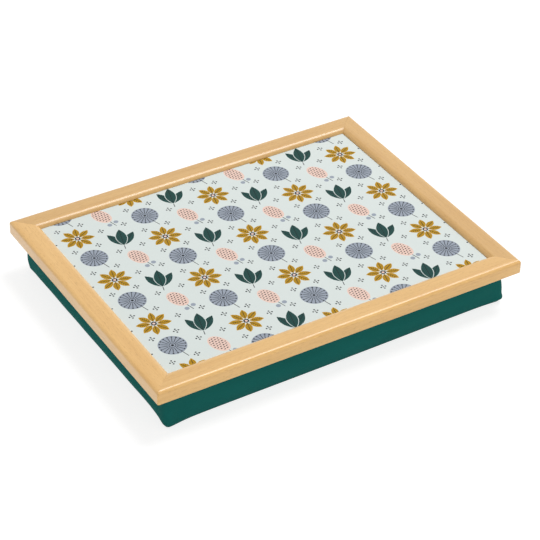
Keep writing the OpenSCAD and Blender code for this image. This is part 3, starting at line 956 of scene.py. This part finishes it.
class LAPTRAY_OT_rails(bpy.types.Operator):
    """Makes the four mitred rails of the frame"""

    bl_idname = "lap_tray.rails"
    bl_label = "Rails"

    # How far apart the boards lie in the noise of the grain
    board_steps = (17.3, 31.1, 13.7)

    def execute(self, context):
        t = context.scene.lap_tray_timber
        halves = (TRAY_HALF_LENGTH, TRAY_HALF_DEPTH)
        for number, side in enumerate(SIDES):
            lengthwise = number % 2 == 0
            half_length, reach = halves if lengthwise else halves[::-1]
            points, faces = rail_surface(t, half_length)
            points = turned(points + np.array([0, -reach, RAIL_BASE]), math.radians(90 * number))
            shift = [number * step for step in self.board_steps]
            # Each rail's timber is darkened by its own painted shade factor.
            timber = timber_finish(f"timber_{side}", t, lengthwise, shift, t.rail_shades[number])
            rail = make_piece(f"{side}_rail_timber", points, faces, timber, "tray")
            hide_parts(f"{side}_rail")
        return {"FINISHED"}


class LAPTRAY_OT_panel(bpy.types.Operator):
    """Finishes the printed face, the board and its backing"""

    bl_idname = "lap_tray.panel"
    bl_label = "Panel"

    def execute(self, context):
        repaint("print_sheet", print_finish(context.scene.lap_tray_print))
        repaint("tray_board", board_finish())
        repaint("backing_sheet", paper_finish())
        return {"FINISHED"}


class LAPTRAY_OT_fasteners(bpy.types.Operator):
    """Finishes the corner nails, the panel points and the staples"""

    bl_idname = "lap_tray.fasteners"
    bl_label = "Fasteners"

    def execute(self, context):
        steel = steel_finish()
        for node in ("corner_nails", "panel_points", "tape_staples"):
            repaint(node, steel)
        return {"FINISHED"}


class LAPTRAY_OT_tapes(bpy.types.Operator):
    """Finishes the hook and loop tapes and sews the loop tapes down"""

    bl_idname = "lap_tray.tapes"
    bl_label = "Tapes"

    def execute(self, context):
        c = context.scene.lap_tray_cushion
        hook, loop = hook_finish(), loop_finish()
        for side in SIDES:
            repaint(f"hook_tape_{side}", hook)
            repaint(f"loop_tape_{side}", loop)
        points, faces = self.stitches(c)
        make_piece("tape_stitches", points, faces, thread_finish(c.thread), "cushion",
                   sharp=60.0)
        return {"FINISHED"}

    def stitches(self, c):
        """Stitches round each loop tape: one small spindle for each, set along the tape's border.

        A spindle is a circle swept along a line, its radius falling to the ends as a half sine.
        """
        margin, thick, rows, sides = 2.2 * MM, 0.24 * MM, 6, 6
        t, turn = np.meshgrid(np.linspace(0, math.pi, rows), np.arange(sides) * 2 * math.pi / sides,
                              indexing="ij")
        spindle = np.stack([-np.cos(t) * c.stitch_length / 2, thick * np.sin(t) * np.cos(turn),
                            0.5 * thick * np.sin(t) * np.sin(turn)], -1).reshape(-1, 3)
        quarter = np.stack([-spindle[:, 1], spindle[:, 0], spindle[:, 2]], 1)
        spots, ways = [], []
        for side in SIDES:
            low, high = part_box(f"loop_tape_{side}")
            borders = [(low[axis] + margin, high[axis] - margin) for axis in (0, 1)]
            for along, (start, end) in enumerate(borders):
                count = int((end - start) / c.stitch_pitch)
                places = np.linspace(start + c.stitch_pitch / 2, end - c.stitch_pitch / 2, count)
                for fixed in borders[1 - along]:
                    line = np.full((count, 3), (fixed, fixed, high.z))
                    line[:, along] = places
                    spots.append(line)
                    ways.append(np.full(count, along))
        spots, ways = np.concatenate(spots), np.concatenate(ways)
        points = np.stack([spindle, quarter])[ways] + spots[:, None]
        firsts = len(spindle) * np.arange(len(spots))[:, None, None]
        faces = (cells(tube_numbers(rows, sides))[None] + firsts).reshape(-1, 4)
        return points.reshape(-1, 3), faces.tolist()


class LAPTRAY_OT_cushion(bpy.types.Operator):
    """Makes the cushion's cover, blown up as cloth, seamed and turned a little under the tray"""

    bl_idname = "lap_tray.cushion"
    bl_label = "Cushion"

    # Steps along the long and the short sides, and up the section
    coarse_counts, coarse_step = (64, 48), 5 * MM
    fine_counts, fine_step = (150, 112), 1.2 * MM

    # Turns round the cushion and phase of the three waves that make the long dents
    dents = ((13, 0.6), (19, 2.1), (29, 4.4))

    def execute(self, context):
        c = context.scene.lap_tray_cushion
        section, rough = cover_section(c, self.fine_step), cover_section(c, self.coarse_step)
        rings = outline_rings(section, c, self.fine_counts)
        if c.simulate:
            start = outline_rings(rough, c, self.coarse_counts, c.slack)
            rings = rings + self.carried(swell(start, self.coarse_counts, c), rough, section)
        self.build(self.shaped(rings, section, c), section, c)
        return {"FINISHED"}

    def carried(self, moves, rough, section):
        """The trial cover's movement, carried over to the finer rings by splines both ways."""
        fine, coarse = run_along(section), run_along(rough)
        levels = np.interp(fine / fine[-1], coarse / coarse[-1], np.arange(len(rough)))
        coarse_sides, fine_sides = self.coarse_counts * 2, self.fine_counts * 2
        firsts = np.cumsum((0, *coarse_sides))
        places = [first + np.arange(many) * few / many
                  for first, few, many in zip(firsts, coarse_sides, fine_sides)]
        up = spread(len(rough), levels, around=False)
        round_about = spread(firsts[-1], np.concatenate(places), around=True)
        return np.einsum("fk,knc,gn->fgc", up, moves, round_about)

    @staticmethod
    def middle_ring(rings):
        """The ring at half height, and the distance along it of its points and of its end."""
        outline = rings[len(rings) // 2, :, :2]
        return outline, run_along(np.concatenate([outline, outline[:1]]))

    def shaped(self, rings, section, c):
        """Adds ears, puckers and seams, keeps the cover clear of floor and rails, and turns it.

        Each change is a bell curve of the distance from an upright corner along the outline, times a
        curve of the height. Ears and the squared corner move out along the corner's diagonal, puckers
        and long dents in along the outline's normal, and seams in and towards half height.
        """
        nx, ny = self.fine_counts
        lesser_pucker, slant = 0.55, 0.7
        outline, run = self.middle_ring(rings)
        run, total = run[:-1], run[-1]
        outward = side_normals(outline)
        height = section[:, 1:]
        belly = np.sin(math.pi * np.clip(height / RAIL_BASE, 0, 1))
        ear_level = bell(height - c.ear_height, c.ear_rise)
        foot_level = bell(height - c.foot_height, c.foot_rise)
        move = np.zeros(rings.shape)
        for number, corner in enumerate((0, nx, nx + ny, 2 * nx + ny)):
            away = (run - run[corner] + total / 2) % total - total / 2
            diagonal = np.sign(outline[corner]) / math.sqrt(2)
            ear = c.ears[number] * ear_level * bell(away, c.ear_reach) ** 2
            foot = c.feet[number] * foot_level * bell(away, c.foot_reach)
            move[..., :2] += (ear + foot)[..., None] * diagonal
            for side in (-1, 1):
                depth = c.pucker * (1.0 if (number, side) == (0, 1) else lesser_pucker)
                fold = bell(side * away - c.pucker_place, c.pucker_width)
                move[..., :2] -= (depth * belly * fold)[..., None] * outward
        waves = sum(np.sin(2 * math.pi * (run * turns / total) + phase)
                    for turns, phase in self.dents) / len(self.dents)
        move[..., :2] += (c.uneven * belly * waves)[..., None] * outward
        for gap, way in zip(seam_gaps(section, c), (1, -1)):
            pull = slant * (c.seam_pull * bell(gap, c.seam_reach))[:, None]
            move[..., :2] -= pull[..., None] * outward
            move[..., 2] += way * pull
        rings = rings + move
        rings[..., 2] = np.clip(rings[..., 2], 0, np.maximum(height, SHOULDER))
        return turned(rings, c.turn) + np.array([c.aside, 0, 0])

    def build(self, rings, section, c):
        """Closes the rings with their panels and gives every face corner its place in the weave."""
        far = 50 * MM
        points, grids = cover_surface(rings, self.fine_counts)
        side, *panels = (cells(grid) for grid in grids)
        _, run = self.middle_ring(rings)
        wide = np.stack(np.broadcast_arrays(run[None], run_along(section)[:, None]), -1)
        weave = np.concatenate([cells(wide), *(points[quads, :2] for quads in panels)])
        seam = np.full(len(points), far)
        seam[: rings[..., 0].size] = np.repeat(np.minimum(*seam_gaps(section, c)), rings.shape[1])
        faces = np.concatenate([side, *panels]).tolist()
        cover = make_piece("cushion_cover", points, faces, cloth_finish(c), "cushion",
                           sharp=180.0, weave=weave, seam=seam)
        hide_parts("bag_top", "bag_band", "bag_bottom", "bead_fill")


GROUPS = {"lap_tray_timber": LapTrayTimber, "lap_tray_print": LapTrayPrint,
          "lap_tray_cushion": LapTrayCushion, "lap_tray_stage": LapTrayStage}
OPERATORS = (LAPTRAY_OT_stage, LAPTRAY_OT_rails, LAPTRAY_OT_panel, LAPTRAY_OT_fasteners,
             LAPTRAY_OT_tapes, LAPTRAY_OT_cushion)


class LAPTRAY_PT_sidebar(bpy.types.Panel):
    """Lists the steps that make the lap tray"""

    bl_idname = "LAPTRAY_PT_sidebar"
    bl_label = "Lap Tray"
    bl_space_type = "VIEW_3D"
    bl_region_type = "UI"
    bl_category = "Lap Tray"

    def draw(self, context):
        for operator in OPERATORS:
            self.layout.operator(operator.bl_idname)
        for name, group in GROUPS.items():
            box = self.layout.box()
            for key in group.__annotations__:
                box.prop(getattr(context.scene, name), key)


def register():
    for name, group in GROUPS.items():
        bpy.utils.register_class(group)
        setattr(bpy.types.Scene, name, PointerProperty(type=group))
    for made in (*OPERATORS, LAPTRAY_PT_sidebar):
        bpy.utils.register_class(made)


def unregister():
    for made in (LAPTRAY_PT_sidebar, *reversed(OPERATORS)):
        bpy.utils.unregister_class(made)
    for name, group in reversed(GROUPS.items()):
        delattr(bpy.types.Scene, name)
        bpy.utils.unregister_class(group)


def main():
    register()
    bpy.ops.lap_tray.stage()
    bpy.ops.lap_tray.rails()
    bpy.ops.lap_tray.panel()
    bpy.ops.lap_tray.fasteners()
    bpy.ops.lap_tray.tapes()
    bpy.ops.lap_tray.cushion()


if __name__ == "__main__":
    main()
